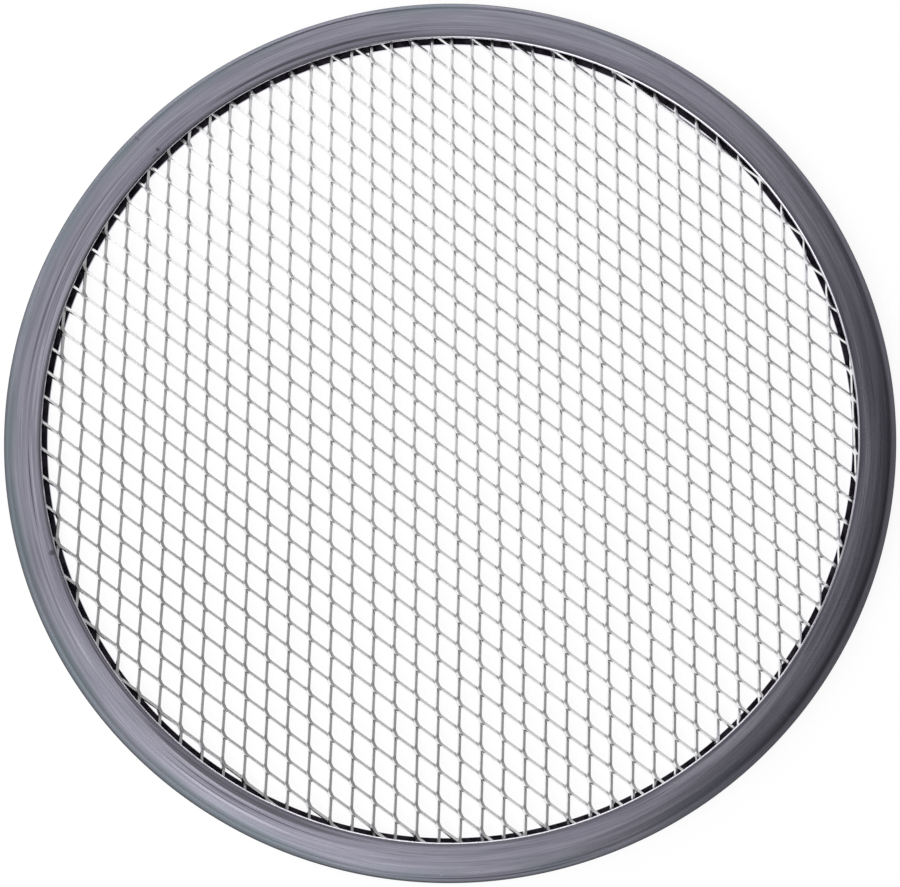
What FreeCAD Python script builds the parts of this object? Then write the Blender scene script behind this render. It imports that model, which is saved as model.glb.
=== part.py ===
"""Round pizza screen: a disc of expanded aluminium mesh held in a folded aluminium rim.

The screen lies flat, with +Z up. The origin is at the centre of the rim's underside.
Lengths are in millimetres and angles in degrees.
"""
import FreeCAD, Part
import math
import os

from FreeCAD import Vector

# Rim: one strip of sheet, folded into a U that opens inwards. The top flange slopes down
# from the fold to its lip, and the lower leg is flat and reaches a little further in.
outer_diameter = 304.8
strip_thickness = 0.9
top_flange_width = 12.6
flange_slope_height = 1.2
leg_past_lip = 1.8
fold_corner = 1.5

# Mesh: raised expanded sheet. Both pitches are measured from bond to bond, seen from above.
# Going up from one face to the other, the strands lean the short way of the diamonds.
long_pitch = 16.64
short_pitch = 7.92
strand_width = 1.2
mesh_height = 2.2
strand_lean = 0.6

# How the mesh lies in the rim: its edge past the lip, the direction of the long way of the
# diamonds, and how far a line of bonds of either strand family passes from the centre
mesh_past_lip = 0.3
long_way_angle = -64.56
upright_line_offset = 2.72
slanting_line_offset = 0.71

# What follows from these sizes
outer_radius = outer_diameter / 2
lip_radius = outer_radius - top_flange_width
leg_radius = lip_radius - leg_past_lip
mesh_radius = lip_radius + mesh_past_lip
mesh_bottom = strip_thickness
mesh_top = mesh_bottom + mesh_height
lip_height = mesh_top + strip_thickness
rim_height = lip_height + flange_slope_height
half_diamond_angle = math.degrees(math.atan2(short_pitch, long_pitch))
line_spacing = long_pitch * math.sin(math.radians(half_diamond_angle))


def make_rim():
    """The strip's outer line, from the lower leg round the fold to the lip, given its thickness."""
    outline = [
        (leg_radius, 0),
        (outer_radius - fold_corner, 0),
        (outer_radius, fold_corner),
        (outer_radius, rim_height - fold_corner),
        (outer_radius - fold_corner, rim_height),
        (lip_radius, lip_height),
    ]
    outer_line = Part.makePolygon([Vector(radius, 0, height) for radius, height in outline])
    section = outer_line.makeOffset2D(strip_thickness, join=2, fill=True, openResult=True)
    return section.revolve(Vector(0, 0, 0), Vector(0, 0, 1), 360).Solids[0]


def plan_direction(angle):
    """A unit vector in the plane of the screen."""
    return Vector(math.cos(math.radians(angle)), math.sin(math.radians(angle)), 0)


def strand_line(direction, offset, flat_height, edge_height):
    """A straight run of strands across the disc: a flat at mid height and an edge above or below it."""
    across = Vector(-direction.y, direction.x, 0)
    short_way = plan_direction(long_way_angle + 90)
    half_length = math.sqrt(mesh_radius ** 2 - offset ** 2)
    start = across * offset - direction * half_length
    lean = short_way * (strand_lean * (edge_height - flat_height) / mesh_height)
    flat_middle = start + Vector(0, 0, flat_height)
    corners = [
        flat_middle - across * (strand_width / 2),
        flat_middle + across * (strand_width / 2),
        start + lean + Vector(0, 0, edge_height),
    ]
    section = Part.Face(Part.makePolygon(corners + corners[:1]))
    return section.extrude(direction * (2 * half_length))


def strand_family(angle, line_offset, edge_height):
    """Every line of strands of one direction that is longer than the side of a diamond."""
    direction = plan_direction(angle)
    diamond_side = math.hypot(long_pitch, short_pitch) / 2
    reach = math.sqrt(mesh_radius ** 2 - diamond_side ** 2)
    first = math.ceil((-reach - line_offset) / line_spacing)
    last = math.floor((reach - line_offset) / line_spacing)
    middle = (mesh_bottom + mesh_top) / 2
    offsets = [line_offset + count * line_spacing for count in range(first, last + 1)]
    return [strand_line(direction, offset, middle, edge_height) for offset in offsets]


def make_expanded_mesh():
    """One slit and stretched sheet: strands in two directions, joined at each bond.

    A raised strand is turned on edge. The upright strands hold the lower edges, on which
    the mesh lies on the leg of the rim, and the slanting strands hold the upper edges.
    """
    upright = strand_family(long_way_angle - half_diamond_angle, upright_line_offset, mesh_bottom)
    slanting = strand_family(long_way_angle + half_diamond_angle, slanting_line_offset, mesh_top)
    return upright[0].multiFuse(upright[1:] + slanting)


os.makedirs("parts", exist_ok=True)
make_rim().exportStep("parts/rim.step")
make_expanded_mesh().exportStep("parts/expanded_mesh.step")
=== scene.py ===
"""Round pizza screen: expanded aluminium mesh in a folded aluminium rim, on a white table."""
import math

import bpy
from mathutils import Euler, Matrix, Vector


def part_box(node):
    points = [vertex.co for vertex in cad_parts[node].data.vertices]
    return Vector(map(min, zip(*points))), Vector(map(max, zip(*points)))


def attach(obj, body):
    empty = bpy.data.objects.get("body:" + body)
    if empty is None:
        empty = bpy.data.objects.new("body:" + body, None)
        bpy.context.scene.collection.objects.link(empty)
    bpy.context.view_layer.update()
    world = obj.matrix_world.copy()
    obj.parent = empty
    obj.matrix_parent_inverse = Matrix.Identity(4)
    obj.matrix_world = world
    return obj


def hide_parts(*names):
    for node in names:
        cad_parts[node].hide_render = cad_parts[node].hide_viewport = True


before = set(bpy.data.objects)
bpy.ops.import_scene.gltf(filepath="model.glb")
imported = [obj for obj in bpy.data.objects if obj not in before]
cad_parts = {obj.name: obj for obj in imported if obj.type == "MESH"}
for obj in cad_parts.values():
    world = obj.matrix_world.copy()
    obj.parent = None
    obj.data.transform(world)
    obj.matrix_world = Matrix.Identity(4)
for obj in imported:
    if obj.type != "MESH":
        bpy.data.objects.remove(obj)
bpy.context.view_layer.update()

# Camera. It looks down on the screen from a little in front of it, about 10 degrees off
# straight above, with the whole rim in the picture.
camera_place = (0.010774, -0.108648, 0.609767)
camera_turn = (9.569, 1.060, -0.577)
camera_lens = 72.17
camera_film_width = 36.0

bpy.ops.object.camera_add(location=camera_place, rotation=[math.radians(turn) for turn in camera_turn])
camera = bpy.context.object
camera.data.sensor_fit = "HORIZONTAL"
camera.data.sensor_width = camera_film_width
camera.data.lens = camera_lens
bpy.context.scene.camera = camera
bpy.context.scene.view_settings.view_transform = "Standard"


# Table. A plain white sheet that the screen lies on. To the camera and in the metal it is
# close to white everywhere, and the screen still leaves a faint shadow on it.
table_size = 8.0
table_below = 0.0001
table_colour = (0.92, 0.92, 0.92, 1)
seen_glow = 0.88
seen_colour = (0.20, 0.20, 0.20, 1)


def add_node(tree, kind, place, inputs=(), **settings):
    """A node in a tree. Each input named gets a link, if it is given a socket, or a plain value."""
    node = tree.nodes.new(kind)
    node.location = place
    for name, value in settings.items():
        setattr(node, name, value)
    for name, value in dict(inputs).items():
        if isinstance(value, bpy.types.NodeSocket):
            tree.links.new(value, node.inputs[name])
        else:
            node.inputs[name].default_value = value
    return node


def calc(tree, place, operation, *values):
    """The result of one sum."""
    return add_node(tree, "ShaderNodeMath", place, dict(enumerate(values)), operation=operation).outputs[0]


def new_material(name):
    """An empty node material and its tree."""
    material = bpy.data.materials.new(name)
    material.use_nodes = True
    material.node_tree.nodes.clear()
    return material, material.node_tree


bpy.ops.object.select_all(action="DESELECT")
bpy.ops.mesh.primitive_plane_add(size=table_size, location=(0, 0, -table_below))
bpy.ops.object.transform_apply(location=True)
table = bpy.context.object
table.name = "table"
white_table, tree = new_material("white_table")
rays = add_node(tree, "ShaderNodeLightPath", (-800, 300)).outputs
seen = calc(tree, (-600, 300), "MAXIMUM", rays["Is Camera Ray"], rays["Is Glossy Ray"])
seen = calc(tree, (-400, 300), "MAXIMUM", seen, rays["Is Transmission Ray"])
lit_sheet = add_node(tree, "ShaderNodeBsdfDiffuse", (-400, 100), {"Color": table_colour})
seen_sheet = add_node(tree, "ShaderNodeBsdfDiffuse", (-400, 0), {"Color": seen_colour})
glow = add_node(tree, "ShaderNodeEmission", (-400, -100), {"Strength": seen_glow})
seen_table = add_node(tree, "ShaderNodeAddShader", (-200, 0), {0: seen_sheet.outputs[0], 1: glow.outputs[0]})
looks = {0: seen, 1: lit_sheet.outputs[0], 2: seen_table.outputs[0]}
looks = add_node(tree, "ShaderNodeMixShader", (0, 100), looks)
add_node(tree, "ShaderNodeOutputMaterial", (200, 100), {"Surface": looks.outputs[0]})
table.data.materials.append(white_table)


# Light. Large soft lamps in front on the left and low behind, dim panels on the left and on
# the right, four small dim ones overhead that the flange mirrors, and a dim room. Each lamp
# has its place, the point that it faces, its size and its power.
room_glow = 0.06
lamps = {
    "front_left_lamp": ((-1.10, -1.25, 1.30), (0, 0, 0), (2.8, 1.8), 30.0),
    "left_panel": ((-1.90, 0.20, 0.90), (0, 0, 0), (1.4, 1.0), 4.0),
    "back_lamp": ((-0.35, 1.90, 0.66), (0, 0, 0), (2.9, 0.85), 16.5),
    "right_panel": ((1.45, 0.68, 1.15), (0, 0, 0), (2.2, 1.4), 2.50),
    "low_right_panel": ((1.35, 0.90, 0.70), (0, 0, 0), (1.1, 0.42), 1.10),
    "overhead_panel": ((-0.46, 0.10, 0.80), (-0.46, 0.10, 0), (0.84, 1.1), 1.50),
    "overhead_back_panel": ((0.06, 0.37, 0.79), (0.06, 0.37, 0), (0.20, 0.30), 0.135),
    "overhead_front_panel": ((0.00, -0.07, 0.79), (0.00, -0.07, 0), (0.12, 0.34), 0.068),
    "overhead_lamp": ((-0.12, -0.06, 0.78), (-0.12, -0.06, 0), (0.16, 0.16), 0.055),
}

world = bpy.data.worlds.new("room")
bpy.context.scene.world = world
world.use_nodes = True
room = world.node_tree.nodes["Background"]
room.inputs["Color"].default_value = (1, 1, 1, 1)
room.inputs["Strength"].default_value = room_glow

for name, (place, target, size, power) in lamps.items():
    turn = (Vector(target) - Vector(place)).to_track_quat("-Z", "Y").to_euler()
    bpy.ops.object.light_add(type="AREA", location=place, rotation=turn)
    lamp = bpy.context.object
    lamp.name = name
    lamp.data.shape = "RECTANGLE"
    lamp.data.size, lamp.data.size_y = size
    lamp.data.energy = power


# Rim. One strip of aluminium sheet, folded into a U that opens inwards and pressed onto the
# edge of the mesh. The leg lies on the table and the top flange slopes down to its lip.
rim_low, rim_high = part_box("rim")
outer_radius = -rim_low.x
rim_height = rim_high.z
strip_thickness = 0.0009
top_flange_width = 0.0131
flange_slope_height = 0.0012
flange_bow = 1.5
leg_past_lip = 0.0013
fold_depth = 0.0022
lip_round = 0.00065
leg_edge_round = 0.0002
edge_found_within = 0.00005
ring_steps = 540
fold_steps = 12
flange_steps = 14
smooth_angle = math.radians(40)

lip_radius = outer_radius - top_flange_width
lip_height = rim_height - flange_slope_height
leg_radius = lip_radius - leg_past_lip
fold_centre = outer_radius - fold_depth


def select_in_edit(piece, kind, chosen):
    """Select the vertices, edges or faces of a piece that a test picks, and nothing else."""
    bpy.ops.object.mode_set(mode="OBJECT")
    for group in (piece.data.vertices, piece.data.edges, piece.data.polygons):
        for item in group:
            item.select = False
    for item in getattr(piece.data, kind):
        item.select = chosen(item)
    mode = {"vertices": "VERT", "edges": "EDGE", "polygons": "FACE"}[kind]
    bpy.ops.object.mode_set(mode="EDIT")
    bpy.ops.mesh.select_mode(type=mode)


def fold_points():
    """The fold, from the leg round to the flange, as radius and height."""
    for step in range(fold_steps + 1):
        turn = math.pi * (step / fold_steps - 0.5)
        yield fold_centre + fold_depth * math.cos(turn), rim_height / 2 * (1 + math.sin(turn))


def flange_points():
    """The flange, from the fold in to its lip. It bows, so that it is steepest at the lip."""
    for step in range(1, flange_steps + 1):
        share = step / flange_steps
        radius = fold_centre + (lip_radius - fold_centre) * share
        yield radius, rim_height - flange_slope_height * share ** flange_bow


bpy.ops.object.select_all(action="DESELECT")
bpy.ops.mesh.primitive_circle_add(
    vertices=ring_steps, radius=leg_radius, fill_type="NOTHING", location=(0, 0, 0))
rim = bpy.context.object
rim.name = "folded_rim"
bpy.ops.object.mode_set(mode="EDIT")
bpy.ops.mesh.select_all(action="SELECT")
radius, height = leg_radius, 0.0
for next_radius, next_height in [*fold_points(), *flange_points()]:
    growth = next_radius / radius
    bpy.ops.mesh.extrude_edges_move()
    bpy.ops.transform.resize(value=(growth, growth, 1), center_override=(0, 0, 0))
    bpy.ops.transform.translate(value=(0, 0, next_height - height))
    radius, height = next_radius, next_height
bpy.ops.mesh.select_all(action="SELECT")
bpy.ops.mesh.normals_make_consistent(inside=False)
bpy.ops.object.mode_set(mode="OBJECT")


def new_group(name, given, made):
    """A node group with its named inputs and outputs, and the sockets that bring the inputs."""
    group = bpy.data.node_groups.new(name, "ShaderNodeTree")
    for side, sockets in (("INPUT", given), ("OUTPUT", made)):
        for socket, kind in sockets.items():
            group.interface.new_socket(name=socket, in_out=side, socket_type="NodeSocket" + kind)
    return group, add_node(group, "NodeGroupInput", (-1200, 0)).outputs


def vector_calc(tree, place, operation, inputs):
    """The results of one sum on places or directions: a vector and a number."""
    return add_node(tree, "ShaderNodeVectorMath", place, inputs, operation=operation).outputs


def noise_at(tree, place, point, scale, detail, roughness=0.5):
    """A cloudy pattern with so many clouds to a metre."""
    inputs = {"Vector": point, "Scale": scale, "Detail": detail, "Roughness": roughness}
    return add_node(tree, "ShaderNodeTexNoise", place, inputs).outputs[0]


def fade(tree, place, value, start, end):
    """A mask that goes softly from 0 to 1 while a value goes from start to end."""
    limits = {"Value": value, "From Min": start, "From Max": end}
    return add_node(tree, "ShaderNodeMapRange", place, limits, interpolation_type="SMOOTHSTEP").outputs[0]


def blend(tree, place, amount, first, second, how="MIX"):
    """Two colours mixed by an amount."""
    colours = {0: amount, 6: first, 7: second}
    return add_node(tree, "ShaderNodeMix", place, colours, data_type="RGBA", blend_type=how).outputs[2]


def way_out_at(tree, place, point):
    """The level way out from the ring's axis to a point."""
    return vector_calc(tree, place, "MULTIPLY", {0: point, 1: (1, 1, 0)})["Vector"]


def radius_at(tree, place, point):
    """How far a point is from the ring's axis."""
    way_out = way_out_at(tree, (place[0] - 200, place[1]), point)
    return vector_calc(tree, place, "LENGTH", {0: way_out})["Value"]


ring_streaks, given = new_group(
    "ring_streaks",
    {"Place": "Vector", "Across": "Float", "Round": "Float"},
    {"Streaks": "Float"},
)
way_out = way_out_at(ring_streaks, (-1000, 0), given["Place"])
radius = vector_calc(ring_streaks, (-800, 100), "LENGTH", {0: way_out})["Value"]
outward = vector_calc(ring_streaks, (-800, -100), "NORMALIZE", {0: way_out})["Vector"]
along = vector_calc(ring_streaks, (-400, -100), "SCALE", {0: outward, "Scale": given["Round"]})["Vector"]
across = calc(ring_streaks, (-600, 100), "MULTIPLY", radius, given["Across"])
across = add_node(ring_streaks, "ShaderNodeCombineXYZ", (-400, 100), {"Z": across}).outputs[0]
point = vector_calc(ring_streaks, (-200, 0), "ADD", {0: along, 1: across})["Vector"]
streaks = noise_at(ring_streaks, (0, 0), point, 1.0, 3.0, 0.6)
add_node(ring_streaks, "NodeGroupOutput", (200, 0), {"Streaks": streaks})

ring_mark, given = new_group(
    "ring_mark",
    {"Place": "Vector", "Angle": "Float", "Radius": "Float", "Length": "Float", "Width": "Float"},
    {"Mask": "Float"},
)
turn_back = calc(ring_mark, (-1000, 200), "MULTIPLY", given["Angle"], -1)
turned = {"Vector": given["Place"], "Angle": turn_back}
turned = add_node(ring_mark, "ShaderNodeVectorRotate", (-800, 200), turned, rotation_type="Z_AXIS").outputs[0]
turned = add_node(ring_mark, "ShaderNodeSeparateXYZ", (-600, 200), {0: turned}).outputs
arc = calc(ring_mark, (-400, 200), "ARCTAN2", turned["Y"], turned["X"])
arc = calc(ring_mark, (-200, 200), "MULTIPLY", arc, given["Radius"])
arc = calc(ring_mark, (0, 200), "DIVIDE", arc, given["Length"])
radius = radius_at(ring_mark, (-600, -200), given["Place"])
span = calc(ring_mark, (-200, -200), "SUBTRACT", radius, given["Radius"])
span = calc(ring_mark, (0, -200), "DIVIDE", span, given["Width"])
squares = [calc(ring_mark, (200, level), "POWER", part, 2) for part, level in ((arc, 200), (span, -200))]
inside = fade(ring_mark, (600, 0), calc(ring_mark, (400, 0), "ADD", *squares), 1.0, 0.2)
add_node(ring_mark, "NodeGroupOutput", (800, 0), {"Mask": inside})


def streaks_at(tree, place, point, across, round_ring):
    """Streaks that run round the rim: so many to a metre across it, and so many round the ring."""
    inputs = {"Place": point, "Across": across, "Round": round_ring}
    return add_node(tree, "ShaderNodeGroup", place, inputs, node_tree=ring_streaks).outputs["Streaks"]


def mark_at(tree, place, point, angle, radius, length, width):
    """A mask for one mark on the rim: half its length round the rim and half its width across it."""
    turn = math.radians(angle)
    inputs = {"Place": point, "Angle": turn, "Radius": radius, "Length": length, "Width": width}
    return add_node(tree, "ShaderNodeGroup", place, inputs, node_tree=ring_mark).outputs["Mask"]


def add_finish(tree, place, looks):
    """Metal with its colour, roughness and other looks, as the surface of its material."""
    finish = add_node(tree, "ShaderNodeBsdfPrincipled", place, {"Metallic": 1.0, **looks}).outputs[0]
    add_node(tree, "ShaderNodeOutputMaterial", (place[0] + 300, place[1]), {"Surface": finish})


rim_dark = (0.365, 0.355, 0.44, 1)
rim_light = (0.48, 0.47, 0.565, 1)
rim_bluish = (0.31, 0.38, 0.42, 1)
rim_fold_painted_shade = (0.32, 0.32, 0.37, 1)
rim_lower_left_painted_shade = (0.15, 0.18, 0.20, 1)
rim_shaded = (0.12, 0.115, 0.13, 1)
rim_edge_painted_shade = (0.15, 0.155, 0.175, 1)
rim_grazing_painted_shade = (0.35, 0.35, 0.40, 1)
# The lip's painted highlight, and the dimmer painted highlight that it has at the left
rim_lip_painted_highlight = (0.78, 0.76, 0.84, 1)
rim_lip_painted_dim_highlight = (0.44, 0.43, 0.49, 1)
dark_mark_and_painted_shade_tone = (0.05, 0.05, 0.06, 1)
light_mark_and_painted_reflection_tone = (0.82, 0.80, 0.93, 1)
# The inside of the fold and the top of the leg: painted shade, near black and a little mottled
inside_painted_shade_dark = (0.014, 0.012, 0.018, 1)
inside_painted_shade_light = (0.055, 0.048, 0.062, 1)
white = (1, 1, 1, 1)
black = (0, 0, 0, 1)

# Streaks of rolling: how many to a metre across the flange, and how many round the ring
fine_streaks = (2600, 5)
broad_streaks = (560, 2.2)
streak_depth = 1.1
streak_level = 0.45

# Values between which a pattern goes from nothing to its full effect
broad_streak_range = (0.36, 0.64)
bluish_patch_range = (0.38, 0.62)
broken_mark_range = (0.25, 0.50)
shade_mottle_range = (0.35, 0.70)
bluish_patch_scale = 32.0
shade_mottle_scale = 260.0

# Zones of the rim, each from where it starts to where it is full. The first four are
# distances in from the outer edge, and the last two are distances out from the lip.
bluish_zone = (0.0062, 0.0022)
bent_zone = (0.0030, 0.0012)
fold_painted_shade_zone = (0.0018, 0.0004)
edge_painted_shade_zone = (0.0009, 0.0004)
shaded_lip_zone = (0.0020, 0.0008)
lip_highlight_zone = (0.00065, 0.00040)

# How strongly each colour covers what lies under it
bluish_strength = 0.65
lower_left_fold_painted_shade_strength = 0.65
shaded_fold_strength = 0.50
shaded_lip_strength = 0.42
dark_mark_strength = 0.70
light_mark_strength = 0.40

# How rough the rolled face is and what the broad streaks and the bend add to it, and how rough the inside is
# and what the mottling of its painted shade adds to it
rim_roughness = 0.19
streak_roughness = 0.10
bent_roughness = 0.42
inside_roughness = 0.4
shade_mottle_roughness = 0.3
streak_bump = {"Strength": 0.35, "Distance": 0.00003}

# Marks. Each has its angle in degrees, its distance from the centre, half its length round
# the rim and half its width across it.
bluish_side = (180, 0.1500, 0.400, 0.0200)
# Painted shade on the fold at the lower left and at the right, where it mirrors the lamps
lower_left_fold_painted_shade = (214, 0.1520, 0.160, 0.0045)
shaded_fold = (343, 0.1520, 0.160, 0.0045)
# Where the lip's painted highlight is dimmer
dim_lip_highlight = (165, lip_radius, 0.175, 0.002)
# The dark marks are notches, nicks, ticks, creases and lines of the rim, and painted shade in the bands by
# the lip at the top and the lower left and on the lip at the lower left.
dark_marks = {
    "tick beside the fold at the upper left": (136.3, 0.1497, 0.00045, 0.0012),
    "notch in the lip at the upper left": (135.4, 0.1417, 0.0008, 0.0010),
    "crease beside that notch": (136.3, 0.1410, 0.0017, 0.00035),
    "notch in the lip at the left": (197.4, 0.1408, 0.0012, 0.0015),
    "pressed line at the left": (157.0, 0.1449, 0.0560, 0.00026),
    "pressed line at the lower left": (241.0, 0.1438, 0.0400, 0.00030),
    "second line at the lower left": (237.0, 0.1453, 0.0290, 0.00022),
    "short line at the left": (188.0, 0.1435, 0.0190, 0.00030),
    "dark lip at the lower left": (213.0, 0.1407, 0.0430, 0.00035),
    "painted shade by the lip at the lower left": (240.0, 0.1416, 0.0560, 0.00110),
    "line by the fold at the bottom": (275.0, 0.1507, 0.0450, 0.00030),
    "line by the fold at the top": (108.0, 0.1501, 0.0480, 0.00035),
    "painted shade by the lip at the top": (109.0, 0.1421, 0.0500, 0.00070),
    "nick at the lower right": (319.0, 0.1496, 0.0003, 0.0012),
}
# The light marks are specks, scratches and a lighter patch, and painted reflections in the bands.
light_marks = {
    "band beside the pressed line at the left": (157.0, 0.1441, 0.0560, 0.00040),
    "lighter patch at the left": (172.0, 0.1425, 0.0180, 0.00080),
    "band at the lower left": (238.0, 0.1460, 0.0350, 0.00045),
    "inner band at the lower left": (236.0, 0.1428, 0.0290, 0.00035),
    "band between left and lower left": (206.0, 0.1444, 0.0270, 0.00045),
    "inner band at the left": (187.0, 0.1426, 0.0180, 0.00040),
    "painted reflection by the lip at the left": (160.0, 0.1411, 0.0600, 0.00090),
    "painted reflection by the lip at the lower right": (312.0, 0.1419, 0.0450, 0.00130),
    "speck at the bottom": (268.6, 0.1496, 0.0006, 0.00035),
    "second speck at the bottom": (273.2, 0.1489, 0.0004, 0.00030),
    "long scratch at the lower right": (318.2, 0.1486, 0.0002, 0.0022),
    "short scratch at the lower right": (317.0, 0.1480, 0.0002, 0.0016),
    "third scratch at the lower right": (320.5, 0.1478, 0.0002, 0.0019),
}

rim_outside, tree = new_material("rim_outside")
point = add_node(tree, "ShaderNodeTexCoord", (-2400, 0)).outputs["Object"]
fine = streaks_at(tree, (-2200, 300), point, *fine_streaks)
broad = streaks_at(tree, (-2200, 0), point, *broad_streaks)
patches = noise_at(tree, (-2200, -300), point, bluish_patch_scale, 3.0)
radius = radius_at(tree, (-2000, -600), point)
from_edge = calc(tree, (-1800, -500), "SUBTRACT", outer_radius, radius)
from_lip = calc(tree, (-1800, -700), "SUBTRACT", radius, lip_radius)

colour = blend(tree, (-1600, 0), fade(tree, (-1800, 0), broad, *broad_streak_range), rim_dark, rim_light)
grain = calc(tree, (-1800, 300), "MULTIPLY_ADD", fine, streak_depth, streak_level)
colour = blend(tree, (-1400, 0), 1.0, colour, grain, "MULTIPLY")

bluish = fade(tree, (-1600, -400), from_edge, *bluish_zone)
patches = fade(tree, (-1600, -200), patches, *bluish_patch_range)
bluish = calc(tree, (-1400, -300), "MULTIPLY", bluish, patches)
bluish = calc(tree, (-1200, -300), "MULTIPLY", bluish, mark_at(tree, (-1400, -500), point, *bluish_side))
bluish = calc(tree, (-1000, -300), "MULTIPLY", bluish, bluish_strength)
colour = blend(tree, (-800, 0), bluish, colour, rim_bluish)

# Painted shade: the fold is darker, and its outer edge darker still.
colour = blend(tree, (-600, 0), fade(tree, (-800, -200), from_edge, *fold_painted_shade_zone), colour, rim_fold_painted_shade)
# Painted shade on the fold at the lower left and at the right
for mark, tone, strength in (
    (lower_left_fold_painted_shade, rim_lower_left_painted_shade, lower_left_fold_painted_shade_strength),
    (shaded_fold, rim_shaded, shaded_fold_strength),
):
    shade = calc(tree, (-600, -400), "MULTIPLY", mark_at(tree, (-800, -400), point, *mark), strength)
    colour = blend(tree, (-400, 0), shade, colour, tone)
edge = fade(tree, (-400, -500), from_edge, *edge_painted_shade_zone)
colour = blend(tree, (-200, 0), edge, colour, rim_edge_painted_shade)
beside_lip = fade(tree, (-400, -700), from_lip, *shaded_lip_zone)
beside_lip = calc(tree, (-200, -700), "MULTIPLY", beside_lip, shaded_lip_strength)
colour = blend(tree, (0, 0), beside_lip, colour, black)

for marks, level, strength, tone in (
    (dark_marks, 700, dark_mark_strength, dark_mark_and_painted_shade_tone),
    (light_marks, 1700, light_mark_strength, light_mark_and_painted_reflection_tone),
):
    found = 0.0
    for count, mark in enumerate(marks.values()):
        spot = mark_at(tree, (-600, level + 50 * count), point, *mark)
        found = calc(tree, (-400, level + 50 * count), "MAXIMUM", found, spot)
    broken_up = fade(tree, (-400, level - 100), fine, *broken_mark_range)
    ragged = calc(tree, (-200, level), "MULTIPLY", found, broken_up)
    ragged = calc(tree, (0, level), "MULTIPLY", ragged, strength)
    colour = blend(tree, (200, level / 4), ragged, colour, tone)

# Painted highlight: the round edge of the lip is much lighter, and less so at the left.
lip_tone = blend(tree, (200, -500), mark_at(tree, (0, -500), point, *dim_lip_highlight), rim_lip_painted_highlight, rim_lip_painted_dim_highlight)
colour = blend(tree, (400, 0), fade(tree, (200, -700), from_lip, *lip_highlight_zone), colour, lip_tone)
roughness = calc(tree, (400, -200), "MULTIPLY_ADD", broad, streak_roughness, rim_roughness)
bent = fade(tree, (400, -400), from_edge, *bent_zone)
roughness = calc(tree, (600, -200), "MULTIPLY_ADD", bent, bent_roughness, roughness)
bump = add_node(tree, "ShaderNodeBump", (600, -400), {"Height": fine, **streak_bump}).outputs[0]
# Painted shade in the reflection: the outer edge's grazing reflection is tinted dark.
tint = blend(tree, (600, 200), edge, white, rim_grazing_painted_shade)
looks = {"Base Color": colour, "Roughness": roughness, "Normal": bump, "Specular Tint": tint}
add_finish(tree, (900, 0), looks)

# Painted shade: the inside of the fold, under the flange and on the leg, is near black and a little mottled.
rim_inside, tree = new_material("rim_inside")
point = add_node(tree, "ShaderNodeTexCoord", (-900, 0)).outputs["Object"]
shade_mottle = noise_at(tree, (-700, 0), point, shade_mottle_scale, 4.0)
colour = blend(tree, (-300, 0), fade(tree, (-500, 0), shade_mottle, *shade_mottle_range), inside_painted_shade_dark, inside_painted_shade_light)
roughness = calc(tree, (-300, -200), "MULTIPLY_ADD", shade_mottle, shade_mottle_roughness, inside_roughness)
looks = {"Base Color": colour, "Roughness": roughness}
add_finish(tree, (0, 0), looks)

rim.data.materials.append(rim_outside)
rim.data.materials.append(rim_inside)
sheet = rim.modifiers.new("sheet", "SOLIDIFY")
sheet.thickness = strip_thickness
sheet.offset = -1
sheet.use_even_offset = True
sheet.material_offset = 1
bpy.ops.object.modifier_apply(modifier=sheet.name)


def ring_test(ring_radius, ring_height):
    """A test for the edges that run round the rim at one radius and height."""
    def test(edge):
        ends = [rim.data.vertices[index].co for index in edge.vertices]
        misses = [math.hypot(math.hypot(end.x, end.y) - ring_radius, end.z - ring_height) for end in ends]
        return max(misses) < edge_found_within
    return test


select_in_edit(rim, "edges", ring_test(lip_radius, lip_height))
bpy.ops.mesh.bevel(offset=lip_round, offset_type="OFFSET", segments=5)
select_in_edit(rim, "edges", ring_test(leg_radius, strip_thickness))
bpy.ops.mesh.bevel(offset=leg_edge_round, offset_type="OFFSET", segments=2)
bpy.ops.object.mode_set(mode="OBJECT")
bpy.ops.object.shade_smooth_by_angle(angle=smooth_angle)

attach(rim, "root")
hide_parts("rim")


# Expanded mesh. One sheet of aluminium, slit in staggered rows and stretched, so that its
# strands stand on edge and zigzag from bond to bond. Cut round, it lies in the rim. One row
# of strands is shaped from a bar, then copied over the disc, cut and joined at the bonds.
mesh_low, mesh_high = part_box("expanded_mesh")
mesh_radius = mesh_high.x
long_pitch = 0.01664
short_pitch = 0.00792
sheet_thickness = 0.0011
strand_width = 0.00095
sheet_tilt = math.radians(60)
bond_length = 0.0012
bend_length = 0.0006
bend_steps = 2
straight_start = 0.0004
same_place = 0.000001
joined_within = 0.000002
long_way_angle = math.radians(-64.56)
mesh_shift = (0.006206, 0.000123)

row_spacing = short_pitch / 2
swing = (row_spacing - strand_width * math.cos(sheet_tilt)) / 2
rise = strand_width * math.sin(sheet_tilt) / 2


def swing_at(place):
    """How far the row has swung at a place, from +1 at one bond through to -1 at the next."""
    place = place % long_pitch
    place = min(place, long_pitch - place)
    slope_run = long_pitch / 2 - bond_length - bend_length
    past_bond = place - bond_length / 2
    left = long_pitch / 2 - bond_length / 2 - place
    if past_bond <= 0:
        return 1.0
    if left <= 0:
        return -1.0
    if past_bond < bend_length:
        return 1 - past_bond ** 2 / (bend_length * slope_run)
    if left < bend_length:
        return left ** 2 / (bend_length * slope_run) - 1
    return 1 - (2 * past_bond - bend_length) / slope_run


def quarter_places():
    """Where the bar is sliced: at the end of a bond, through the bend and where the strand is straight."""
    for step in range(bend_steps + 1):
        yield bond_length / 2 + bend_length * step / bend_steps
    yield bond_length / 2 + bend_length + straight_start


quarter = list(quarter_places())
half = quarter + [long_pitch / 2 - place for place in reversed(quarter)]
slices = half + [long_pitch / 2 + place for place in half]
bar_start = -bond_length / 2

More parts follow.
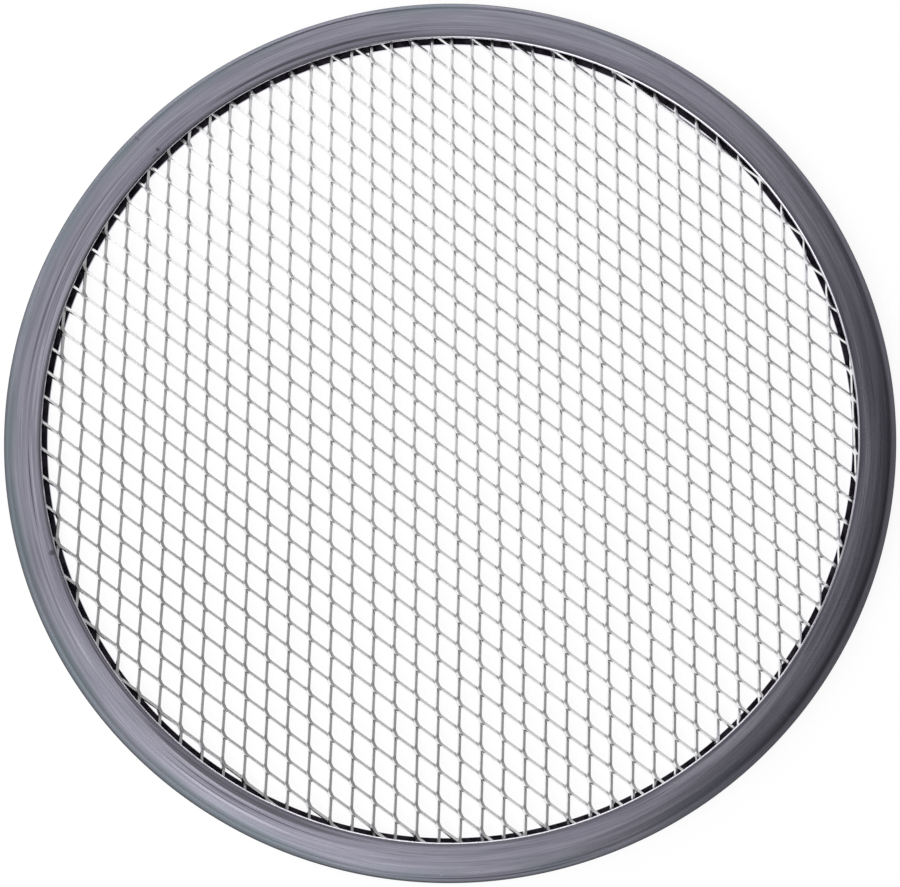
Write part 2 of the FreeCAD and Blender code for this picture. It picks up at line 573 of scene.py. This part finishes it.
bpy.ops.object.select_all(action="DESELECT")
bpy.ops.mesh.primitive_cube_add(size=1, location=(0, 0, 0))
row = bpy.context.object
row.name = "strand_row"
bpy.ops.object.mode_set(mode="EDIT")
bpy.ops.transform.resize(value=(long_pitch, strand_width, sheet_thickness))
bpy.ops.transform.translate(value=(bar_start + long_pitch / 2, 0, 0))
for place in slices[:-1]:
    bpy.ops.mesh.select_all(action="SELECT")
    bpy.ops.mesh.bisect(plane_co=(place, 0, 0), plane_no=(1, 0, 0))


def face_test(side, start, end):
    """A test for the faces on one side of the bar, between two places along it."""
    def test(face):
        return face.normal.dot(Vector(side)) > 0.9 and start < face.center.x < end
    return test


# The faces that are joined to the next row or to the next stretch of the same row go
for side, start, end in (
    ((1, 0, 0), -1, 1),
    ((-1, 0, 0), -1, 1),
    ((0, 1, 0), bar_start, -bar_start),
    ((0, -1, 0), long_pitch / 2 + bar_start, long_pitch / 2 - bar_start),
):
    select_in_edit(row, "polygons", face_test(side, start, end))
    bpy.ops.mesh.delete(type="FACE")

# Painted shade on the cut faces at the bonds. They lie where the two waves are in opposite phase.
spot_offset = 0.0007
spot_start = -0.60
spot_full = -0.95

bond_spots, given = new_group("bond_spots", {"Place": "Vector"}, {"Mask": "Float"})
point = vector_calc(bond_spots, (-1000, 0), "SUBTRACT", {0: given["Place"], 1: (*mesh_shift, 0)})["Vector"]
point = {"Vector": point, "Angle": -long_way_angle}
point = add_node(bond_spots, "ShaderNodeVectorRotate", (-800, 0), point, rotation_type="Z_AXIS").outputs[0]
ways = add_node(bond_spots, "ShaderNodeSeparateXYZ", (-600, 0), {0: point}).outputs
short_way = calc(bond_spots, (-600, -200), "SUBTRACT", ways["Y"], spot_offset)
waves = []
for way, pitch, level in ((ways["X"], long_pitch, 100), (short_way, short_pitch, -100)):
    phase = calc(bond_spots, (-400, level), "MULTIPLY", way, 2 * math.pi / pitch)
    waves.append(calc(bond_spots, (-200, level), "COSINE", phase))
spots = fade(bond_spots, (200, 0), calc(bond_spots, (0, 0), "MULTIPLY", *waves), spot_start, spot_full)
add_node(bond_spots, "NodeGroupOutput", (400, 0), {"Mask": spots})

# Fine grain and broad stains, each with its number of clouds to a metre and how much it
# changes the colour, and what the grain adds to the roughness
grain_scale = 900.0
grain_depth = 0.30
grain_roughness = 0.12
stain_scale = 70.0
stain_depth = 0.24

# Each face has its colour, its roughness and how much painted shade it gets at the bonds
mesh_finishes = {
    "mesh_rolled_face": ((0.90, 0.90, 0.91, 1), 0.22, 0.0),
    "mesh_cut_face": ((0.86, 0.86, 0.87, 1), 0.24, 0.30),
}
for name, (tone, smoothest, bond_shade) in mesh_finishes.items():
    metal, tree = new_material(name)
    point = add_node(tree, "ShaderNodeTexCoord", (-900, 0)).outputs["Object"]
    grain = noise_at(tree, (-700, 0), point, grain_scale, 3.0)
    stains = noise_at(tree, (-700, -200), point, stain_scale, 2.0)
    grain_level = calc(tree, (-500, 0), "MULTIPLY_ADD", grain, grain_depth, 1 - grain_depth / 2)
    stain_level = calc(tree, (-500, -200), "MULTIPLY_ADD", stains, stain_depth, 1 - stain_depth / 2)
    level = calc(tree, (-300, 0), "MULTIPLY", grain_level, stain_level)
    colour = blend(tree, (-100, 0), 1.0, tone, level, "MULTIPLY")
    spots = add_node(tree, "ShaderNodeGroup", (-500, 200), {"Place": point}, node_tree=bond_spots)
    painted_bond_shade = calc(tree, (-300, 200), "MULTIPLY", spots.outputs["Mask"], bond_shade)
    colour = blend(tree, (100, 0), painted_bond_shade, colour, black)
    roughness = calc(tree, (100, -200), "MULTIPLY_ADD", grain, grain_roughness, smoothest)
    looks = {"Base Color": colour, "Roughness": roughness}
    add_finish(tree, (400, 0), looks)
    row.data.materials.append(metal)

select_in_edit(row, "polygons", lambda face: abs(face.normal.y) > 0.9)
row.active_material_index = 1
bpy.ops.object.material_slot_assign()
bpy.ops.mesh.select_all(action="SELECT")
bpy.ops.transform.rotate(value=-sheet_tilt, orient_axis="X", center_override=(0, 0, 0))
for place in [bar_start] + slices:
    select_in_edit(row, "vertices", lambda corner: abs(corner.co.x - place) < same_place)
    bpy.ops.transform.translate(value=(0, swing * swing_at(place), -rise * swing_at(place)))
bpy.ops.object.mode_set(mode="OBJECT")

periods = math.ceil(2 * mesh_radius / long_pitch) + 2
chain = row.modifiers.new("chain", "ARRAY")
chain.count = periods
chain.use_relative_offset = False
chain.use_constant_offset = True
chain.constant_offset_displace = (long_pitch, 0, 0)
chain.use_merge_vertices = True
chain.merge_threshold = same_place
bpy.ops.object.modifier_apply(modifier=chain.name)
bpy.ops.object.mode_set(mode="EDIT")
bpy.ops.mesh.select_all(action="SELECT")
bpy.ops.transform.translate(value=(-long_pitch * (periods // 2), 0, 0))
bpy.ops.object.mode_set(mode="OBJECT")

shift = Vector((*mesh_shift, 0))
shift.rotate(Euler((0, 0, -long_way_angle)))
row_reach = mesh_radius + swing
first = math.ceil((-row_reach - shift.y) / row_spacing)
last = math.floor((row_reach - shift.y) / row_spacing)
rows = []

# Each copy of the row is cut by three planes that touch the round edge: two at its ends and
# one at its outer side
for count in range(first, last + 1):
    across = shift.y + row_spacing * (count + 0.5)
    along = shift.x + (long_pitch / 2 if count % 2 else 0)
    tip = max(abs(across) - swing, 0)
    if tip >= mesh_radius:
        continue
    bpy.ops.object.select_all(action="DESELECT")
    row.select_set(True)
    bpy.context.view_layer.objects.active = row
    bpy.ops.object.duplicate()
    strand = bpy.context.object
    bpy.ops.object.mode_set(mode="EDIT")
    bpy.ops.mesh.select_all(action="SELECT")
    bpy.ops.transform.translate(value=(along, across, 0))
    end_angle = math.asin(math.copysign(tip, across) / mesh_radius)
    for angle in (end_angle, math.pi - end_angle, math.copysign(math.pi / 2, across)):
        outward = Vector((math.cos(angle), math.sin(angle), 0))
        bpy.ops.mesh.select_all(action="SELECT")
        bpy.ops.mesh.bisect(plane_co=outward * mesh_radius, plane_no=outward, use_fill=True, clear_outer=True)
    bpy.ops.object.mode_set(mode="OBJECT")
    rows.append(strand)
bpy.ops.object.select_all(action="DESELECT")
row.select_set(True)
bpy.ops.object.delete()

# The rows are joined at the bonds, and what a cut has left open there is closed
for strand in rows:
    strand.select_set(True)
bpy.context.view_layer.objects.active = rows[0]
bpy.ops.object.join()
mesh = bpy.context.object
mesh.name = "expanded_sheet"
bpy.ops.object.mode_set(mode="EDIT")
bpy.ops.mesh.select_all(action="SELECT")
bpy.ops.mesh.remove_doubles(threshold=joined_within)
bpy.ops.mesh.select_mode(type="EDGE")
bpy.ops.mesh.select_all(action="DESELECT")
bpy.ops.mesh.select_non_manifold(extend=False)
bpy.ops.mesh.fill_holes(sides=0)
bpy.ops.mesh.select_all(action="SELECT")
bpy.ops.mesh.normals_make_consistent(inside=False)
bpy.ops.transform.rotate(value=-long_way_angle, orient_axis="Z", center_override=(0, 0, 0))
bpy.ops.transform.translate(value=(0, 0, (mesh_low.z + mesh_high.z) / 2))
bpy.ops.object.mode_set(mode="OBJECT")
bpy.ops.object.shade_smooth_by_angle(angle=smooth_angle)

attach(mesh, "root")
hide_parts("expanded_mesh")
